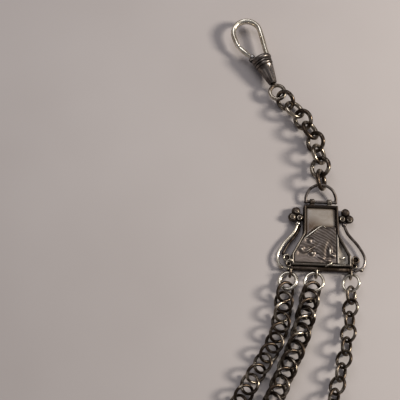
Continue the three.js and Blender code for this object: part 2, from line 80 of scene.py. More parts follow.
# Materials.
class Nodes:
    """A material's node tree, with short ways to add and join nodes. Object coordinates are metres."""

    def __init__(self, name):
        self.material = bpy.data.materials.new(name)
        self.material.use_nodes = True
        self.tree = self.material.node_tree
        self.shader = self.tree.nodes["Principled BSDF"]
        self.place = self.add("ShaderNodeTexCoord").outputs["Object"]

    def add(self, kind, **settings):
        node = self.tree.nodes.new(kind)
        for key, value in settings.items():
            setattr(node, key, value)
        return node

    def join(self, output, socket):
        self.tree.links.new(output, socket)

    def noise(self, scale, detail=3.0, roughness=0.55, distortion=0.0, place=None):
        node = self.add("ShaderNodeTexNoise")
        node.inputs["Scale"].default_value = scale
        node.inputs["Detail"].default_value = detail
        node.inputs["Roughness"].default_value = roughness
        node.inputs["Distortion"].default_value = distortion
        self.join(place or self.place, node.inputs["Vector"])
        return node.outputs["Fac"]

    def ramp(self, value, stops):
        node = self.add("ShaderNodeValToRGB")
        elements = node.color_ramp.elements
        while len(elements) < len(stops):
            elements.new(0.5)
        for element, (position, colour) in zip(elements, stops):
            element.position = position
            element.color = (*colour, 1.0)
        self.join(value, node.inputs["Fac"])
        return node.outputs["Color"]

    def mix(self, factor, a, b, blend="MIX"):
        node = self.add("ShaderNodeMix", data_type="RGBA", blend_type=blend)
        for socket, value in zip((node.inputs[0], node.inputs[6], node.inputs[7]), (factor, a, b)):
            if isinstance(value, bpy.types.NodeSocket):
                self.join(value, socket)
            elif isinstance(value, tuple):
                socket.default_value = (*value, 1.0)
            else:
                socket.default_value = value
        return node.outputs[2]

    def range(self, value, low, high, out_low, out_high):
        node = self.add("ShaderNodeMapRange")
        for socket, number in zip(node.inputs[1:5], (low, high, out_low, out_high)):
            socket.default_value = number
        self.join(value, node.inputs[0])
        return node.outputs[0]

    def math(self, operation, a, b=0.0):
        node = self.add("ShaderNodeMath", operation=operation)
        for socket, value in zip(node.inputs, (a, b)):
            if isinstance(value, bpy.types.NodeSocket):
                self.join(value, socket)
            else:
                socket.default_value = value
        return node.outputs[0]

    def hollows(self, distance):
        node = self.add("ShaderNodeAmbientOcclusion", samples=6)
        node.inputs["Distance"].default_value = distance
        return node.outputs["AO"]

    def bump(self, height, strength, distance, under=None):
        node = self.add("ShaderNodeBump")
        node.inputs["Strength"].default_value = strength
        node.inputs["Distance"].default_value = distance
        self.join(height, node.inputs["Height"])
        if under is not None:
            self.join(under, node.inputs["Normal"])
        return node.outputs["Normal"]


def metal(name, bright, dull, grime_and_shade, rough=(0.2, 0.42), tarnish=(0.42, 0.58), patina_and_shade_spread=0.55, dent=0.2,
          upper=None):
    """Old silver: bright where worn, dull where tarnished, near black in the hollows and where other parts stand close,
    which is black patina together with painted shade. upper is painted shade laid over the part past the plaque's
    waist, if given."""
    m = Nodes(name)
    patches = m.noise(260.0, 4.0, 0.6, 0.4)
    specks = m.noise(1700.0, 3.0, 0.65)
    base = m.mix(m.range(patches, tarnish[0], tarnish[1], 0.0, 1.0), bright, dull)
    base = m.mix(m.range(specks, 0.55, 0.75, 0.0, 0.35), base, grime_and_shade)
    # Painted shade laid over the part past the plaque's waist.
    if upper:
        height = m.add("ShaderNodeSeparateXYZ")
        m.join(m.place, height.inputs[0])
        base = m.mix(m.range(height.outputs["Y"], -0.0015, 0.0015, 0.0, 0.9), base, upper)
    # Black patina in the hollows, plus painted shade where other parts stand close, such as between links.
    patina_and_shade_mask = m.range(m.hollows(0.0022), 0.25, 0.25 + patina_and_shade_spread, 1.0, 0.0)
    m.join(m.mix(patina_and_shade_mask, base, grime_and_shade), m.shader.inputs["Base Color"])
    m.shader.inputs["Metallic"].default_value = 1.0
    roughness = m.math("ADD", m.range(patches, 0.35, 0.7, *rough), m.range(specks, 0.4, 0.8, 0.0, 0.12))
    m.join(m.math("ADD", roughness, m.math("MULTIPLY", patina_and_shade_mask, 0.25)), m.shader.inputs["Roughness"])
    dents = m.bump(patches, dent, 0.0002)
    m.join(m.bump(specks, 0.22, 0.00006, dents), m.shader.inputs["Normal"])
    return m.material


def engraved_metal():
    """The cover plate: dark silver cut with curved lines, plainer and paler round them, bright on its raised parts."""
    m = Nodes("engraved_silver")
    bend = m.add("ShaderNodeMapping")
    bend.inputs["Location"].default_value = (0.0065, 0.0125, 0.0)
    m.join(m.place, bend.inputs["Vector"])
    cuts = m.add("ShaderNodeTexWave", wave_type="RINGS", rings_direction="Z", wave_profile="SIN")
    cuts.inputs["Scale"].default_value = 390.0
    cuts.inputs["Distortion"].default_value = 5.5
    cuts.inputs["Detail"].default_value = 2.0
    cuts.inputs["Detail Scale"].default_value = 0.6
    zone = m.add("ShaderNodeVectorMath", operation="DISTANCE")
    m.join(m.place, zone.inputs[0])
    zone.inputs[1].default_value = (0.0006, -0.0010, 0.0024)
    cut = m.range(zone.outputs["Value"], 0.0042, 0.0062, 1.0, 0.25)
    m.join(bend.outputs["Vector"], cuts.inputs["Vector"])
    patches = m.noise(300.0, 4.0, 0.6, 0.5)
    specks = m.noise(1900.0, 3.0, 0.6)
    base = m.mix(m.range(patches, 0.38, 0.66, 0.0, 1.0), (0.215, 0.182, 0.16), (0.105, 0.085, 0.072))
    base = m.mix(m.range(cut, 0.3, 0.9, 0.7, 0.0), base, (0.235, 0.192, 0.165))
    lines = m.math("MULTIPLY", m.range(cuts.outputs["Fac"], 0.2, 0.8, 0.65, 0.0), cut)
    base = m.mix(lines, base, (0.035, 0.025, 0.018))
    high = m.add("ShaderNodeSeparateXYZ")
    m.join(m.place, high.inputs[0])
    base = m.mix(m.range(high.outputs["Z"], 0.00262, 0.00285, 0.0, 0.9), base, (0.66, 0.60, 0.51))
    # Near black in the relief's hollows and where the bezel and lip stand close: black patina, and painted shade.
    patina_and_shade_mask = m.range(m.hollows(0.0012), 0.2, 0.75, 1.0, 0.0)
    m.join(m.mix(patina_and_shade_mask, base, (0.05, 0.03, 0.016)), m.shader.inputs["Base Color"])
    m.shader.inputs["Metallic"].default_value = 1.0
    m.join(m.range(patches, 0.3, 0.7, 0.34, 0.56), m.shader.inputs["Roughness"])
    grooves = m.bump(m.math("MULTIPLY", cuts.outputs["Fac"], cut), 0.35, 0.00006)
    m.join(m.bump(specks, 0.25, 0.00005, grooves), m.shader.inputs["Normal"])
    return m.material


def cloudy_stone():
    """Agate: cloudy grey-beige, with painted shade in brown round its edges where the bezel and cover stand close, and
    a rusty stain in the lower left corner.
    """
    m = Nodes("cloudy_agate")
    clouds = m.noise(190.0, 5.0, 0.6, 1.2)
    grain = m.noise(1500.0, 2.0)
    base = m.ramp(clouds, [(0.3, (0.19, 0.155, 0.12)), (0.5, (0.275, 0.235, 0.195)), (0.7, (0.34, 0.30, 0.26))])
    split = m.add("ShaderNodeVectorMath", operation="DISTANCE")
    m.join(m.place, split.inputs[0])
    split.inputs[1].default_value = (-0.0039, 0.0016, 0.0018)
    wander = m.math("ADD", split.outputs["Value"], m.range(clouds, 0.3, 0.7, 0.0012, -0.0012))
    stain = m.range(wander, 0.0020, 0.0050, 1.0, 0.0)
    base = m.mix(stain, base, (0.080, 0.042, 0.014))
    # Painted shade: browner where the bezel and cover stand close round the stone.
    edge = m.range(m.hollows(0.0015), 0.35, 0.95, 0.8, 0.0)
    base = m.mix(edge, base, (0.10, 0.065, 0.04))
    m.join(m.mix(m.range(grain, 0.5, 0.75, 0.0, 0.25), base, (0.24, 0.19, 0.15)), m.shader.inputs["Base Color"])
    m.join(m.range(clouds, 0.3, 0.7, 0.22, 0.38), m.shader.inputs["Roughness"])
    m.shader.inputs["Coat Weight"].default_value = 0.25
    m.shader.inputs["Coat Roughness"].default_value = 0.18
    m.join(m.bump(grain, 0.12, 0.00004), m.shader.inputs["Normal"])
    return m.material


def floor_material():
    m = Nodes("pale_floor")
    soft = m.noise(14.0, 3.0, 0.5)
    m.join(m.ramp(soft, [(0.3, (0.47, 0.425, 0.405)), (0.7, (0.52, 0.475, 0.455))]), m.shader.inputs["Base Color"])
    m.shader.inputs["Roughness"].default_value = 0.9
    return m.material


SILVER = metal("aged_silver_wire", (0.50, 0.435, 0.345), (0.10, 0.075, 0.056), (0.012, 0.007, 0.004))
# The links: dark tarnish, with deep painted shade where they meet one another.
CHAIN = metal("tarnished_and_shaded_silver_links", (0.47, 0.40, 0.31), (0.062, 0.044, 0.031), (0.010, 0.006, 0.004), (0.18, 0.38),
              (0.36, 0.51), 0.70, 0.15)
BRIGHT = metal("worn_silver_and_highlight", (0.82, 0.76, 0.64), (0.44, 0.385, 0.30), (0.030, 0.020, 0.013), (0.17, 0.30),
               (0.38, 0.62), 0.5, 0.08)
DULL = metal("rubbed_silver_sheet", (0.42, 0.38, 0.33), (0.24, 0.21, 0.18), (0.03, 0.022, 0.015), (0.45, 0.6),
             (0.36, 0.66), 0.5, 0.08)
# The bezel's last colour is painted shade over its upper part, where it lies under the bail.
BEZEL = metal("bezel_silver", (0.34, 0.30, 0.255), (0.18, 0.152, 0.125), (0.016, 0.010, 0.007), (0.36, 0.5),
              (0.36, 0.66), 0.5, 0.1, (0.055, 0.040, 0.031))
DARK = metal("oxidised_silver", (0.25, 0.215, 0.19), (0.085, 0.068, 0.058), (0.014, 0.009, 0.007), (0.24, 0.44))
SOOT_AND_SHADE = metal("blackened_silver_and_shade", (0.10, 0.078, 0.062), (0.030, 0.021, 0.015), (0.008, 0.005, 0.003),
             (0.4, 0.6))
STEEL = metal("spring_steel_pin", (0.55, 0.54, 0.53), (0.30, 0.27, 0.24), (0.05, 0.035, 0.02), (0.2, 0.35))
ENGRAVED = engraved_metal()
STONE = cloudy_stone()


# Mesh making. A part is a pair of lists: points in millimetres and faces.
def tube(path, radius, closed=False, sides=14, caps=True, deep=1.0):
    """A round wire along a path; its radius is one number or one for each point. deep stretches it along Z."""
    path = [Vector(p) for p in path]
    radii = list(radius) if isinstance(radius, (list, tuple)) else [radius] * len(path)
    if caps and not closed:
        first = (path[0] - path[1]).normalized() * radii[0]
        last = (path[-1] - path[-2]).normalized() * radii[-1]
        head = [(path[0] + first * math.sin(a), radii[0] * math.cos(a)) for a in (1.45, 1.0, 0.5)]
        foot = [(path[-1] + last * math.sin(a), radii[-1] * math.cos(a)) for a in (0.5, 1.0, 1.45)]
        path = [p for p, _ in head] + path + [p for p, _ in foot]
        radii = [r for _, r in head] + radii + [r for _, r in foot]
    count = len(path)
    points = []
    side = None
    for i, point in enumerate(path):
        before = path[i - 1] if i or closed else path[0]
        after = path[(i + 1) % count] if i + 1 < count or closed else path[-1]
        ahead = (after - before).normalized()
        if side is None:
            side = ahead.orthogonal().normalized()
        side = (side - ahead * side.dot(ahead)).normalized()
        other = ahead.cross(side)
        for k in range(sides):
            angle = 2 * math.pi * k / sides
            out = radii[i] * (side * math.cos(angle) + other * math.sin(angle))
            points.append(point + Vector((out.x, out.y, out.z * deep)))
    rows = count if closed else count - 1
    faces = []
    for i in range(rows):
        for k in range(sides):
            a, b = i * sides + k, i * sides + (k + 1) % sides
            c, d = (i + 1) % count * sides + (k + 1) % sides, (i + 1) % count * sides + k
            faces.append((a, b, c, d))
    if not closed:
        faces.append(tuple(reversed(range(sides))))
        faces.append(tuple((count - 1) * sides + k for k in range(sides)))
    return points, faces


def ring(place, radius, wire, stretch=1.0, segments=48, seam=True):
    """A wire ring in the XY plane of a matrix, slightly uneven, with a faint soldered seam."""
    phase = rng.uniform(0, 6.28)
    seam_at = rng.uniform(0, 6.28)
    path = []
    radii = []
    for k in range(segments):
        angle = 2 * math.pi * k / segments
        uneven = 1 + 0.005 * math.sin(2 * angle + phase) + 0.002 * math.sin(5 * angle + 2 * phase)
        path.append(place @ Vector((radius * stretch * uneven * math.cos(angle), radius * uneven * math.sin(angle), 0)))
        near = math.cos(angle - seam_at)
        solder = 0.02 if seam and near > 0.985 else 0.0
        radii.append(wire / 2 * (DRAWN_WIRE + solder - 0.05 * abs(math.cos(angle)) ** 6))
    return tube(path, radii, closed=True)


def lathe(profile, place, segments=40, shape=None):
    """A turned piece round the Y axis of a matrix. shape(angle, height) scales its radius."""
    points = []
    for radius, height in profile:
        for k in range(segments):
            angle = 2 * math.pi * k / segments
            scale = shape(angle, height) if shape else 1.0
            points.append(place @ Vector((radius * scale * math.cos(angle), height, radius * scale * math.sin(angle))))
    faces = []
    for i in range(len(profile) - 1):
        for k in range(segments):
            a, b = i * segments + k, i * segments + (k + 1) % segments
            faces.append((a, a + segments, b + segments, b))
    faces.append(tuple(range(segments)))
    faces.append(tuple(reversed([(len(profile) - 1) * segments + k for k in range(segments)])))
    return points, faces


def bead(centre, radius, dent=0.06, seed=0.0, stretch=(1, 1, 1)):
    """A cast ball, a little lumpy."""
    place = Matrix.Translation(centre) @ Matrix.Diagonal((*stretch, 1))
    profile = []
    for k in range(1, 16):
        angle = math.pi * k / 16 - math.pi / 2
        profile.append((radius * math.cos(angle), radius * math.sin(angle)))
    points, faces = lathe(profile, place, 24)
    lumpy = []
    for point in points:
        out = point - Vector(centre)
        lump = noise.noise((point + Vector((seed, seed, 0))) * (1.3 / radius))
        lumpy.append(Vector(centre) + out * (1 + dent * lump))
    return lumpy, faces


def loops(outlines, fill_last=True, fill_first=False):
    """Joins closed outlines of the same number of points, one inside or above the next."""
    points = [Vector(p) for outline in outlines for p in outline]
    count = len(outlines[0])
    faces = []
    for i in range(len(outlines) - 1):
        for k in range(count):
            a, b = i * count + k, i * count + (k + 1) % count
            faces.append((a, b, b + count, a + count))
    if fill_last:
        faces.append(tuple((len(outlines) - 1) * count + k for k in range(count)))
    if fill_first:
        faces.append(tuple(reversed(range(count))))
    return points, faces


def piece(name, parts, material, body, nodes, sharp=40):
    """One object from parts, riding on a body and standing for CAD nodes."""
    points = []
    faces = []
    for part_points, part_faces in parts:
        start = len(points)
        points += [tuple(p * MM for p in point) for point in part_points]
        faces += [tuple(start + k for k in face) for face in part_faces]
    mesh = bpy.data.meshes.new(name)
    mesh.from_pydata(points, [], faces)
    mesh.validate()
    made = bpy.data.objects.new(name, mesh)
    bpy.context.scene.collection.objects.link(made)
    mesh.materials.append(material)
    mesh.shade_smooth()
    mesh.set_sharp_from_angle(angle=math.radians(sharp))
    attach(made, body)
    if nodes:
        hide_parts(*nodes)
    return made


def smooth_path(points, steps=8):
    """A Catmull-Rom curve through points."""
    points = [Vector(p) for p in points]
    padded = [2 * points[0] - points[1]] + points + [2 * points[-1] - points[-2]]
    path = []
    for k in range(len(points) - 1):
        p0, p1, p2, p3 = padded[k:k + 4]
        for step in range(steps):
            t = step / steps
            path.append(0.5 * (2 * p1 + (p2 - p0) * t + (2 * p0 - 5 * p1 + 4 * p2 - p3) * t * t
                               + (3 * p1 - p0 - 3 * p2 + p3) * t ** 3))
    return path + [points[-1]]


# The plaque.
def half_width(y, inset=0.0):
    upper = HALF_TOP + (TOP - max(y, WAIST)) / (TOP - WAIST) * (HALF_WAIST - HALF_TOP)
    flare = (WAIST - max(min(y, WAIST), HIP)) / (WAIST - HIP) * (HALF_BOTTOM - HALF_WAIST)
    return upper + flare - inset


def keystone(inset, z, corner=0.35):
    """The plaque's outline, inset, with eased corners, as points at height z."""
    heights = [BOTTOM + inset, HIP, WAIST, TOP - inset]
    right = [Vector((half_width(y, inset), y, z)) for y in heights]
    left = [Vector((-p.x, p.y, z)) for p in reversed(right)]
    return eased(right + left, corner)


def eased(corners, corner=0.35, steps=4):
    """Rounds a closed outline's corners and adds points along its sides."""
    out = []
    count = len(corners)
    for i, point in enumerate(corners):
        before = (corners[i - 1] - point)
        after = (corners[(i + 1) % count] - point)
        reach = min(corner, before.length / 3, after.length / 3)
        start = point + before.normalized() * reach
        end = point + after.normalized() * reach
        for step in range(steps + 1):
            t = step / steps
            out.append(start * (1 - t) ** 2 + point * 2 * t * (1 - t) + end * t * t)
        following = corners[(i + 1) % count]
        leave = following - after.normalized() * min(corner, after.length / 3)
        for step in range(1, 8):
            out.append(end.lerp(leave, step / 8))
    return out


def make_plaque():
    back = [keystone(0.25, 0.0), keystone(0.0, 0.2), keystone(0.0, 0.8), keystone(0.3, 0.85)]
    piece("plaque_back", [loops(back, True, True)], DARK, "plaque", ["back_plate"])

    section = [(0.0, SEAT), (0.0, 1.5), (0.1, 1.75), (0.02, 1.9), (0.02, 2.2), (0.18, 2.5), (0.4, 2.6), (0.6, 2.5),
               (0.7, 2.3), (RIM, 2.2), (RIM, SEAT)]
    rims = [keystone(inset, z, max(0.05, 0.4 - 0.4 * inset)) for inset, z in section]
    piece("plaque_bezel", [loops(rims, False)], BEZEL, "plaque", ["bezel"])

    inset = RIM + GAP
    high, low = TOP - inset, BOTTOM + inset

    def edge(y):
        return half_width(y, inset)

    stone = [(-edge(COVER_LEFT_Y), COVER_LEFT_Y + GAP), (COVER_BEND_X, COVER_RIGHT_Y + GAP),
             (edge(COVER_RIGHT_Y), COVER_RIGHT_Y + GAP), (edge(high), high), (-edge(high), high),
             (-edge(WAIST), WAIST)]
    middle = Vector((0, 5.2, 0))
    layers = []
    for scale, z in [(1.0, SEAT), (1.0, 1.45), (0.97, 1.62), (0.9, 1.74), (0.75, 1.83), (0.5, 1.88), (0.2, 1.9)]:
        outline = eased([Vector((x, y, 0)) for x, y in stone], 0.5)
        layers.append([middle + (p - middle) * scale + Vector((0, 0, z)) for p in outline])
    piece("stone", [loops(layers)], STONE, "plaque", ["stone_inlay"], 60)

    make_cover(edge, low)
    make_wing(edge, low)


def cover_height(x, y):
    """Relief on the cover plate: scrolled leaves at the foot, a shallow hand-made waviness elsewhere."""
    # Each leaf: middle x and y, half length, half width, turn in degrees, rise.
    z = COVER_TOP + 0.05 * noise.noise(Vector((x * 0.5, y * 0.5, 3.0)))
    leaves = [(-4.6, -5.0, 1.3, 0.55, 32, 0.55), (-2.9, -5.5, 0.75, 0.6, 0, 0.62), (-5.9, -4.4, 0.8, 0.7, -50, 0.5),
              (-3.3, -4.2, 1.3, 0.28, 36, 0.4), (2.4, -4.9, 0.6, 1.6, -6, 0.6), (3.3, -6.0, 0.65, 0.6, 0, 0.55),
              (2.0, -7.5, 0.9, 0.5, 15, 0.35), (-3.6, -1.6, 0.55, 0.5, 0, 0.3), (0.2, -6.9, 1.3, 0.45, -25, 0.3)]
    for cx, cy, along, across, turn, rise in leaves:
        c, s = math.cos(math.radians(turn)), math.sin(math.radians(turn))
        u, v = ((x - cx) * c + (y - cy) * s) / along, (-(x - cx) * s + (y - cy) * c) / across
        far = u * u + v * v
        z += rise * math.exp(-1.6 * far) - 0.16 * math.exp(-2.2 * (math.sqrt(far) - 1.7) ** 2)
    return z


def make_cover(edge, low):
    columns, rows = 92, 84
    left_top = edge(COVER_RIGHT_Y)
    bend = (COVER_BEND_X + left_top) / (COVER_RIGHT_X + left_top)
    points = []
    for j in range(rows + 1):
        for i in range(columns + 1):
            u, v = i / columns, j / rows
            top = COVER_LEFT_Y + (COVER_RIGHT_Y - COVER_LEFT_Y) * min(u / bend, 1) - GAP
            y = low + v * (top - low)
            x = -edge(y) + u * (COVER_RIGHT_X + edge(y))
            rim = min(u * (COVER_RIGHT_X + edge(y)), (1 - u) * 11, y - low, (top - y))
            lip = 0.22 * math.exp(-((min(top - y, 9) - 0.22) / 0.2) ** 2)
            fall = 0.35 * max(0.0, 1 - rim / 0.16) ** 2
            points.append(Vector((x, y, cover_height(x, y) + lip - fall)))
    faces = []
    for j in range(rows):
        for i in range(columns):
            a = j * (columns + 1) + i
            faces.append((a, a + 1, a + columns + 2, a + columns + 1))
    border = list(range(columns + 1))
    border += [j * (columns + 1) + columns for j in range(1, rows + 1)]
    border += [rows * (columns + 1) + i for i in range(columns - 1, -1, -1)]
    border += [j * (columns + 1) for j in range(rows - 1, 0, -1)]
    start = len(points)
    points += [Vector((points[k].x, points[k].y, SEAT)) for k in border]
    count = len(border)
    for k in range(count):
        faces.append((border[k], start + k, start + (k + 1) % count, border[(k + 1) % count]))
    faces.append(tuple(start + k for k in reversed(range(count))))
    piece("cover_relief", [(points, faces)], ENGRAVED, "plaque", ["cover_plate"], 55)

    lip = [(-edge(COVER_LEFT_Y) + 0.1, COVER_LEFT_Y - 0.15, 2.5), (COVER_BEND_X, COVER_RIGHT_Y - 0.22, 2.55),
           (1.2, COVER_RIGHT_Y - 0.2, 2.5)]
    swell = smooth_path(lip, 10)
    radii = [0.08 + 0.16 * math.sin(math.pi * k / (len(swell) - 1)) ** 0.6 for k in range(len(swell))]
    piece("cover_lip", [tube(swell, radii)], BRIGHT, "plaque", [])


def make_wing(edge, low):
    left = COVER_RIGHT_X + GAP
    right = left + 0.7
    slope = (edge(HIP) - edge(WAIST)) / (WAIST - HIP)
    shoulder = WAIST - (right + GAP - edge(WAIST)) / slope
    rail = [Vector((left, low, 0)), Vector((right, low, 0)), Vector((right, shoulder, 0)), Vector((left, WAIST, 0))]
    layers = []
    for inset, z in [(0.0, SEAT), (0.0, 2.35), (0.08, 2.52), (0.25, 2.6)]:
        middle = (left + right) / 2
        layers.append(eased([Vector((middle + (p.x - middle) * (1 - inset / 0.35), p.y, z)) for p in rail], 0.12))
    piece("wing_rail_cap", [loops(layers)], DULL, "plaque", ["wing_rail"])

    wing = [Vector((right + GAP, low, 0)), Vector((edge(low), low, 0)), Vector((edge(HIP), HIP, 0)),
            Vector((right + GAP, shoulder, 0))]
    centre = sum(wing, Vector()) / 4
    layers = []
    for scale, z in [(1.0, SEAT), (1.0, 1.5), (0.95, 1.6), (0.6, 1.45), (0.3, 1.4)]:
        layers.append([centre + (p - centre) * scale + Vector((0, 0, z)) for p in eased(wing, 0.2)])
    piece("wing_panel", [loops(layers)], DULL, "plaque", ["wing_right"])


def make_trim():
    for name, hand in (("left", -1), ("right", 1)):
        beads = []
        for k, (x, y) in enumerate([(0.0, 1.25), (-1.1, -0.65), (1.1, -0.65)]):
            centre = Vector((hand * TREFOIL_X + x, TREFOIL_Y + y, 1.45))
            beads.append(bead(centre, 1.33 if centre.x * hand > 6.9 else 1.2, 0.1, 3.1 * k + hand))
        piece(f"trefoil_beads_{name}", beads, SOOT_AND_SHADE, "plaque", [f"trefoil_{name}"])
        rims = []
        places = [(-1.1, -0.9), (1.1, -1.0)] if hand > 0 else [(-1.2, -0.7), (0.9, -0.9), (0.1, 1.1)]
        for k, (x, y) in enumerate(places):
            place = Matrix.Translation((hand * TREFOIL_X + x, TREFOIL_Y + y, 2.55))
            place = place @ Matrix.Rotation(0.15 - 0.3 * k, 4, "X")
            rims.append(ring(place, 0.62, 0.27, segments=24, seam=False))
        piece(f"trefoil_rims_{name}", rims, SILVER, "plaque", [])

        outer = [(6.95, 3.7), (8.2, 0.9), (11.0, -2.4), (12.8, -5.5), (13.0, -7.6), (12.2, -9.4), (9.95, -10.3)]
        path = smooth_path([(hand * x, y, 1.5) for x, y in outer], 7)
        radii = [0.42 + 0.03 * math.sin(0.2 * k) for k in range(len(path))]
        # Mirror copies of one wire: the left is given bright silver as a painted highlight, the right dark silver as
        # painted shade.
        painted_light_look = BRIGHT if hand < 0 else DARK
        wires = [tube(path, radii)]
        wires.append(bead(Vector((hand * 6.95, 3.75, 1.6)), 0.72, 0.08, 2.0))
        piece(f"side_wires_{name}", wires, painted_light_look, "plaque", [f"side_wire_{name}"])

        if hand < 0:
            # A thick, blackened inner strip beside the left wire: partly an inner wire, partly painted shade deepening
            # the shadow between the wire and the plaque.
            inner = smooth_path([(-6.3, 3.0, 1.0), (-7.5, 0.4, 1.0), (-9.9, -2.8, 1.0), (-11.4, -5.6, 1.0)], 7)
            piece("side_strip_left", [tube(inner, 0.42, deep=1.5)], SOOT_AND_SHADE, "plaque", [])

        curl = []
        for turn, (cx, cy, size) in enumerate(CURLS):
            path = []
            for k in range(30):
                angle = math.radians(100 + 12.5 * k)
                radius = size * (1.1 - 0.25 * k / 30)
                path.append((hand * (cx + radius * math.cos(angle)), cy + radius * math.sin(angle), 1.6 - 0.1 * turn))
            curl.append(tube(path, 0.27 if turn == 0 else 0.23, sides=10))
        curl.append(bead(Vector((hand * 9.0, -7.8, 2.1)), 0.55, 0.08, 1.0))
        curl.append(bead(Vector((hand * 11.9, -9.9, 1.5)), 0.62, 0.08, 4.0))
        piece(f"corner_curls_{name}", curl, SILVER, "plaque", [f"corner_curl_{name}"])
        # Dark discs under the curls' open middles: painted shade, standing for the shadowed floor seen through them.
        hole_shade_discs = []
        for (cx, cy, _), z, radius, seed in zip(CURLS, (1.0, 0.95), (0.95, 0.75), (5.0, 6.0)):
            hole_shade_discs.append(bead(Vector((hand * cx, cy, z)), radius, 0.05, seed, (1, 1, 0.45)))
        piece(f"curl_hole_shade_{name}", hole_shade_discs, SOOT_AND_SHADE, "plaque", [])


    streak = smooth_path([(1.0, -9.45, 2.65), (2.0, -8.95, 2.85), (3.1, -8.2, 2.75)], 8)
    band = smooth_path([(2.9, -8.95, 2.6), (4.8, -9.0, 2.65), (6.9, -8.75, 2.6)], 8)
    leaf = smooth_path([(5.5, -7.3, 2.3), (6.1, -6.8, 2.6), (7.1, -6.4, 2.3)], 8)
    scrolls = []
    for path, radius in ((streak, 0.27), (band, 0.26), (leaf, 0.3)):
        last = len(path) - 1
        radii = [0.1 + (radius - 0.1) * math.sin(math.pi * k / last) ** 0.6 for k in range(last + 1)]
        scrolls.append(tube(path, radii))
    piece("foot_scrolls", scrolls, BRIGHT, "plaque", [])


def make_rail():
    across = Matrix.Translation((0, RAIL_Y, RAIL_Z)) @ Matrix.Rotation(math.radians(90), 4, "Z")
    profile = [(0.3, -RAIL_HALF), (0.62, -RAIL_HALF + 0.08), (0.75, -RAIL_HALF + 0.3), (0.74, -RAIL_HALF + 0.8),
               (0.55, -RAIL_HALF + 1.0), (0.72, -RAIL_HALF + 1.25), (0.72, 0.0)]
    profile += [(r, -y) for r, y in reversed(profile[:-1])]
    parts = [lathe(profile, across, 24)]
    for x in (-5.6, 1.9, 5.2):
        parts.append(ring(Matrix.Translation((x, RAIL_Y, RAIL_Z)) @ Matrix.Rotation(math.radians(90), 4, "Y"), 0.68,
                          0.24, segments=24, seam=False))
    piece("foot_rail", parts, SOOT_AND_SHADE, "plaque", ["bottom_rail"])

    start = RAIL_Y - RAIL_RADIUS - GAP
    bend = LOOP_TIP + LOOP_RADIUS
    for name, strand in STRANDS.items():
        arc = [(start, LOOP_RADIUS)]
        for k in range(13):
            angle = math.pi * k / 12
            arc.append((bend - LOOP_RADIUS * math.sin(angle), LOOP_RADIUS * math.cos(angle)))
        arc.append((start, -LOOP_RADIUS))
        path = [(strand["loop"], y, LOOP_Z + z) for y, z in arc]
        foot = []
        for grow, y in [(0.8, start), (1.0, start - 0.05), (1.0, start - 0.12), (0.85, start - 0.16)]:
            box = [(-0.65, -1.7), (0.65, -1.7), (0.65, 1.7), (-0.65, 1.7)]
            corners = [Vector((strand["loop"] + x * grow, y, LOOP_Z + z * grow)) for x, z in box]
            foot.append(eased(corners, 0.2))
        piece(f"loop_{name}", [tube(path, LOOP_WIRE / 2, caps=False), loops(foot, True, True)], SILVER, "plaque",
              [f"strand_loop_{name}"])


def make_bail():
    place = Matrix.Translation((0, BAIL_Y, BAIL_Z)) @ Matrix.Rotation(math.radians(BAIL_TILT), 4, "X")
    hoop = [(-BAIL_HALF, 0, 0), (-BAIL_HALF, 1.6, 0), (-3.5, 3.7, 0), (-1.7, 4.95, 0), (0, BAIL_LENGTH, 0),
            (1.7, 4.95, 0), (3.5, 3.7, 0), (BAIL_HALF, 1.6, 0), (BAIL_HALF, 0, 0)]
    parts = [tube([place @ p for p in smooth_path(hoop, 6)], DRAWN_WIRE * BAIL_WIRE / 2)]
    parts.append(tube([place @ Vector((x * BAIL_HALF / 8, 0, 0)) for x in range(-8, 9)], BAIL_WIRE / 2))
    for hand in (-1, 1):
        parts.append(bead(place @ Vector((hand * BAIL_HALF, 0, 0)), 0.55, 0.06, hand))
    piece("bail_hoop", parts, DARK, "bail", ["bail"])

    for name, hand in (("left", -1), ("right", 1)):
        turn = Matrix.Translation((hand * KNUCKLE_X, BAIL_Y, BAIL_Z)) @ Matrix.Rotation(math.radians(90), 4, "Z")
        sleeve = [(0.56, -0.65), (0.8, -0.65), (0.93, -0.5), (0.93, -0.2), (0.86, 0.0), (0.93, 0.2), (0.93, 0.5),
                  (0.8, 0.65), (0.56, 0.65)]
        barrel = lathe(sleeve, turn, 24)
        leaf = []
        for shrink, z in [(0.1, 0.72), (0.0, 0.8), (0.0, 1.8), (0.12, 1.92)]:
            box = [(-0.65 + shrink, 9.66), (0.65 - shrink, 9.66), (0.65 - shrink, 10.15), (-0.65 + shrink, 10.15)]
            leaf.append(eased([Vector((hand * KNUCKLE_X + x, y, z)) for x, y in box], 0.12))
        piece(f"bail_sleeve_{name}", [(barrel[0], barrel[1][:-2]), loops(leaf, True, True)], SILVER, "plaque",
              [f"bail_knuckle_{name}"])


# Links.
def link_place(start, end, roll):
    """Axes of a link from one pivot to the next, rolled about that line."""
    ahead = (end - start).normalized()
    side = Vector((0, 0, 1)).cross(ahead).normalized()
    above = ahead.cross(side)
    normal = above * math.cos(math.radians(roll)) + side * math.sin(math.radians(roll))
    across = normal.cross(ahead)
    place = Matrix((ahead, across, normal)).transposed().to_4x4()
    place.translation = (start + end) / 2
    return place


def heading(angle):
    return Vector((math.cos(math.radians(angle)), math.sin(math.radians(angle)), 0))


def upper_pivots():
    inside = BAIL_LENGTH - (BAIL_WIRE + UPPER_WIRE) / 4 - PLAY / 2
    pivots = [Vector((0, BAIL_Y + inside * math.cos(math.radians(BAIL_TILT)), UPPER_HEIGHT))]
    for angle in UPPER_HEADINGS:
        pivots.append(pivots[-1] + heading(angle) * UPPER_SPACING)
    return pivots


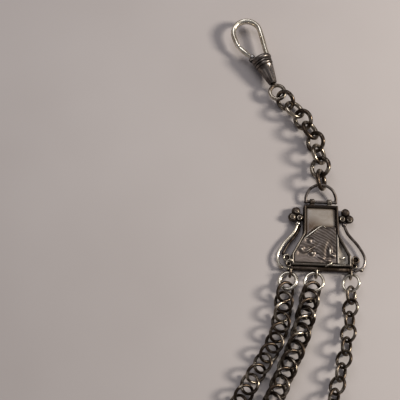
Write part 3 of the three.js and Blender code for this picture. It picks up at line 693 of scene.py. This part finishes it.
def make_upper_chain():
    pivots = upper_pivots()
    radius = (UPPER_DIAMETER - UPPER_WIRE) / 2
    for k, roll in enumerate(UPPER_ROLLS):
        place = link_place(pivots[k], pivots[k + 1], roll)
        name = f"upper_link_{k + 1}"
        piece(f"ring_{name}", [ring(place, radius, UPPER_WIRE)], CHAIN, name, [name])


def crossing(across, k, t):
    """A strand's sideways place between two levels: a smooth cubic through its crossings."""
    before = across[k - 1] if k > 0 else 2 * across[0] - across[1]
    after = across[k + 2] if k + 2 < len(across) else 2 * across[-1] - across[-2]
    a, b = across[k], across[k + 1]
    bend = 2 * before - 5 * a + 4 * b - after
    twist = 3 * a - before - 3 * b + after
    return a + 0.5 * t * (b - before + t * (bend + t * twist))


def strand_pivots(strand):
    stretches = []
    for k, count in enumerate(strand["counts"]):
        drop = LEVELS[k + 1] - LEVELS[k]
        stretches.append([Vector((crossing(strand["across"], k, s / count), LEVELS[k] + drop * s / count,
                                  strand["height"])) for s in range(count + 1)])
    inside = (COLLECTOR_DIAMETER - COLLECTOR_WIRE) / 2 - (COLLECTOR_WIRE + strand["wire"]) / 4 - 1.3 * PLAY
    end = COLLECTOR + heading(strand["contact"]) * inside
    last = stretches[-1][-1]
    count = strand["tail"][0]
    stretches.append([last.lerp(end, s / count) for s in range(count + 1)])
    return stretches


def make_strand(name, strand):
    stretches = strand_pivots(strand)
    diameter, wire, roll = strand["ring"]
    place = link_place(Vector((strand["loop"], RING_LEVEL, LOOP_Z)), stretches[0][0], roll)
    piece(f"hoop_{name}", [ring(place, (diameter - wire) / 2, wire)], BRIGHT, f"{name}_ring",
          [f"jump_ring_{name}"])
    index = 0
    for k, pivots in enumerate(stretches):
        tail = k == len(stretches) - 1
        diameter = strand["tail"][1] if tail else strand["diameter"]
        radius = (diameter - strand["wire"]) / 2
        rings = []
        for start, end in zip(pivots, pivots[1:]):
            roll = strand["rolls"][index % 2]
            if tail and end is pivots[-1]:
                roll = math.copysign(strand["tail"][2], roll)
            lean = 0 if tail else strand["lean"]
            spread = (end - start).length
            stretch = max(1.0, (spread + strand["wire"] + PLAY) / (2 * radius))
            place = link_place(start, end, roll) @ Matrix.Rotation(math.radians(lean), 4, "Y")
            rings.append(ring(place, radius, strand["wire"], stretch, 40))
            index += 1
        body = f"{name}_tail_run" if tail else f"{name}_run_{k + 1}"
        node = f"{name}_tail" if tail else f"{name}_links_{k + 1}"
        piece(f"rings_{node}", rings, CHAIN, body, [node])


# The swivel clasp, along the +Y of its own matrix, with the eye's middle as origin.
def make_swivel():
    last = upper_pivots()[-1]
    inside = (EYE_DIAMETER - EYE_WIRE) / 2 - (EYE_WIRE + UPPER_WIRE) / 4 - PLAY / 2
    centre = Vector((last.x, last.y, SWIVEL_HEIGHT)) + heading(UPPER_HEADINGS[-1]) * inside
    clasp = Matrix.Translation(centre) @ Matrix.Rotation(math.radians(SWIVEL_HEADING - 90), 4, "Z")

    eye_radius = (EYE_DIAMETER - EYE_WIRE) / 2
    shank = [(0.75, eye_radius + 0.25), (0.62, eye_radius + 0.5), (0.6, 4.55), (0.9, 4.72), (1.05, 4.8), (1.05, 5.2),
             (0.7, 5.38), (0.2, 5.4)]
    piece("eye_and_shank", [ring(clasp, eye_radius, EYE_WIRE), lathe(shank, clasp, 20)], SILVER, "swivel_eye",
          ["swivel_eye"])

    def fluted(angle, height):
        if not 3.5 < height < 9.2:
            return 1.0
        depth = 0.17 * math.sin(math.pi * min(1, (height - 3.5) / 5.6)) ** 0.5
        return 1 - depth * (0.5 - 0.5 * math.cos(FLUTES * angle)) ** 2

    cone = [(0.76, 5.2), (0.76, 3.35), (1.0, 3.2), (1.25, 3.25), (1.3, 3.45)]
    cone += [(1.3 + (2.62 - 1.3) * (k / 16) ** 0.85, 3.5 + 5.7 * k / 16) for k in range(17)]
    mouldings = [(2.45, 9.35), (2.4, 9.55), (2.6, 9.66), (2.85, 9.85), (2.9, 10.02), (2.85, 10.2), (2.6, 10.36),
                 (2.5, 10.45), (2.65, 10.55), (2.93, 10.7), (2.98, 10.85), (2.93, 11.0), (2.7, 11.14), (2.6, 11.25),
                 (2.85, 11.4), (3.15, 11.6), (3.25, 11.85), (3.25, 12.25), (3.1, 12.6), (2.8, 12.8), (2.2, 12.9),
                 (0.5, 12.92)]
    parts = [lathe(cone + mouldings, clasp, 64, fluted)]
    for side in (-1, 1):
        ear = []
        for grow, z in [(0.9, -0.225), (1.0, -0.15), (1.0, 0.15), (0.9, 0.225)]:
            edge = [Vector((HINGE_X - 0.8 * grow, 12.7, 0)), Vector((HINGE_X + 0.8 * grow, 12.7, 0))]
            for k in range(13):
                angle = math.pi * k / 12
                reach = 0.85 * grow
                edge.append(Vector((HINGE_X + reach * math.cos(angle), HINGE_Y + reach * math.sin(angle), 0)))
            ear.append([clasp @ (p + Vector((0, 0, side * 0.95 + z))) for p in edge])
        parts.append(loops(ear, True, True))
    piece("barrel", parts, DARK, "swivel", ["swivel_barrel"])

    path = [(FOOT_X, MOUTH - 0.3, 0), (2.6, 14.8, 0), (3.25, 18.4, 0)]
    for k in range(9):
        angle = math.pi * k / 8
        path.append((BOW_X + BOW_RADIUS * math.cos(angle), BOW_Y + BOW_RADIUS * math.sin(angle), 0))
    path.append((TIP_X, NOSE_Y, 0))
    path = [clasp @ p for p in smooth_path(path, 6)]
    count = len(path) - 1
    radii = [BOW_WIRE / 2 * (1 - 0.06 * math.cos(2 * math.pi * k / count)) for k in range(count + 1)]
    base = [clasp @ Vector((x, MOUTH + 0.15, 0)) for x in (-1.4, -0.7, 0.0, 0.8, 1.6, 2.3)]
    piece("bow_hook", [tube(path, radii, sides=18, deep=1.35), tube(base, 0.42)], BRIGHT, "swivel",
          ["swivel_bow"])

    along = Vector((TIP_X - HINGE_X, TIP_Y - HINGE_Y, 0))
    turn = math.atan2(along.y, along.x) - math.pi / 2
    gate = clasp @ Matrix.Translation((HINGE_X, HINGE_Y, 0)) @ Matrix.Rotation(turn, 4, "Z")
    length = along.length
    profile = [(0.35, 0.9), (0.5, 1.1), (0.66, 1.4), (0.76, 1.9), (0.8, 2.9), (0.78, length - 1.0),
               (0.68, length - 0.4), (0.4, length - 0.12), (0.1, length - 0.1)]
    knuckle = [(0.34, -0.5), (0.72, -0.5), (0.8, -0.42), (0.8, 0.42), (0.72, 0.5), (0.34, 0.5)]
    hinge = gate @ Matrix.Rotation(math.radians(90), 4, "X")
    knuckle = lathe(knuckle, hinge, 24)
    neck = [gate @ Vector((0, y, 0)) for y in (0.72, 1.0, 1.3, 1.6)]
    piece("gate_blade", [lathe(profile, gate, 24), (knuckle[0], knuckle[1][:-2]), tube(neck, 0.5)], BRIGHT,
          "swivel_gate", ["swivel_gate"])

    pin = clasp @ Matrix.Translation((HINGE_X, HINGE_Y, 0)) @ Matrix.Rotation(math.radians(90), 4, "X")
    head = [(0.2, -1.6), (0.45, -1.55), (0.6, -1.4), (0.6, -1.24), (0.31, -1.22)]
    profile = head + [(r, -y) for r, y in reversed(head)]
    piece("rivet", [lathe(profile, pin, 20)], STEEL, "swivel", ["gate_rivet"])
    coil = []
    for k in range(41):
        angle = 2 * math.pi * k / 20
        coil.append(pin @ Vector((0.55 * math.cos(angle), -0.56 - 0.1 * k / 40, 0.55 * math.sin(angle))))
    piece("spring_coil", [tube(coil, 0.06, sides=8)], STEEL, "swivel", ["gate_spring"])


def make_end():
    ring_radius = (COLLECTOR_DIAMETER - COLLECTOR_WIRE) / 2
    piece("collector_hoop", [ring(Matrix.Translation(COLLECTOR), ring_radius, COLLECTOR_WIRE, segments=64)], BRIGHT,
          "collector", ["collector_ring"])
    first = ring_radius - (COLLECTOR_WIRE + END_WIRE) / 4 - PLAY / 2
    heights = [COLLECTOR.z, 2.35, BAR_Z + 0.4]
    pivots = [Vector((COLLECTOR.x, COLLECTOR.y - first - k * END_SPACING, z)) for k, z in enumerate(heights)]
    for k, roll in enumerate(END_ROLLS):
        place = link_place(pivots[k], pivots[k + 1], roll)
        piece(f"ring_end_{k + 1}", [ring(place, (END_DIAMETER - END_WIRE) / 2, END_WIRE)], SILVER,
              f"end_link_{k + 1}", [f"end_link_{k + 1}"])

    eye_y = pivots[2].y - (BAR_EYE - (BAR_EYE_WIRE + END_WIRE) / 4 - PLAY / 2)
    place = Matrix.Translation((COLLECTOR.x, eye_y, pivots[2].z)) @ Matrix.Rotation(math.radians(90), 4, "Y")
    piece("bar_eye_loop", [ring(place, BAR_EYE, BAR_EYE_WIRE, segments=32)], SILVER, "t_bar",
          ["t_bar_eye"])
    bar_y = eye_y - BAR_EYE - BAR_COLLAR + 0.25
    place = Matrix.Translation((COLLECTOR.x, bar_y, BAR_Z)) @ Matrix.Rotation(math.radians(90), 4, "Z")
    half = [(BAR_COLLAR, 0), (BAR_COLLAR, 0.6), (1.45, 0.95), (1.2, 1.15), (1.12, 1.3), (1.22, 1.42), (1.2, 1.6),
            (1.0, 1.8), (BAR_RADIUS, 2.2), (0.95, 5.0), (0.86, 9.0), (0.85, 10.4), (1.1, 10.55), (1.15, 10.75),
            (1.1, 10.95), (0.85, 11.1)]
    for k in range(11):
        angle = math.radians(-50 + 13.5 * k)
        half.append((BAR_BALL * math.cos(angle), BAR_HALF - BAR_BALL + BAR_BALL * math.sin(angle)))
    profile = [(r, -y) for r, y in reversed(half[1:])] + half
    piece("cross_bar", [lathe(profile, place, 32)], BRIGHT, "t_bar", ["t_bar"])


make_plaque()
make_trim()
make_rail()
make_bail()
make_upper_chain()
make_swivel()
for strand_name, strand_sizes in STRANDS.items():
    make_strand(strand_name, strand_sizes)
make_end()


# Floor, light and camera.
def make_stage():
    mesh = bpy.data.meshes.new("floor")
    reach = 1.2
    mesh.from_pydata([(-reach, -reach, 0), (reach, -reach, 0), (reach, reach, 0), (-reach, reach, 0)], [],
                     [(0, 1, 2, 3)])
    mesh.materials.append(floor_material())
    ground = bpy.data.objects.new("floor", mesh)
    bpy.context.scene.collection.objects.link(ground)

    world = bpy.data.worlds.new("studio")
    world.use_nodes = True
    world.node_tree.nodes["Background"].inputs["Color"].default_value = (0.95, 0.93, 1.0, 1)
    world.node_tree.nodes["Background"].inputs["Strength"].default_value = 0.20
    bpy.context.scene.world = world
    bpy.context.scene.view_settings.view_transform = "Standard"

    add_light("key", (0.80, 0.04, 0.52), 0.47, (0.10, 0.10), 2.08, (1.0, 0.95, 0.87))
    add_light("fill", (-0.15, 0.55, 0.85), 0.6, (0.35, 0.35), 1.0, (0.95, 0.95, 1.0))


def add_light(name, towards, distance, size, power, colour):
    data = bpy.data.lights.new(name, "AREA")
    data.shape = "RECTANGLE"
    data.size, data.size_y = size
    data.energy = power
    data.color = colour
    light = bpy.data.objects.new(name, data)
    target = Vector((-0.03, 0.01, 0.0))
    light.location = target + Vector(towards).normalized() * distance
    light.rotation_euler = (light.location - target).to_track_quat("Z", "Y").to_euler()
    bpy.context.scene.collection.objects.link(light)


def make_camera():
    azimuth, elevation, roll, field = math.radians(-5), math.radians(72), math.radians(7), math.radians(24)
    target, distance = Vector((-36.466, 10.459, 0)) * MM, 0.285
    back = Vector((math.sin(azimuth) * math.cos(elevation), -math.cos(azimuth) * math.cos(elevation),
                   math.sin(elevation)))
    level = Vector((math.cos(azimuth), math.sin(azimuth), 0))
    up = back.cross(level)
    right = level * math.cos(roll) + up * math.sin(roll)
    above = up * math.cos(roll) - level * math.sin(roll)
    place = Matrix((right, above, back)).transposed().to_4x4()
    place.translation = target + back * distance
    data = bpy.data.cameras.new("camera")
    data.angle = field
    data.clip_start = 0.01
    camera = bpy.data.objects.new("camera", data)
    camera.matrix_world = place
    bpy.context.scene.collection.objects.link(camera)
    bpy.context.scene.camera = camera


make_stage()
make_camera()
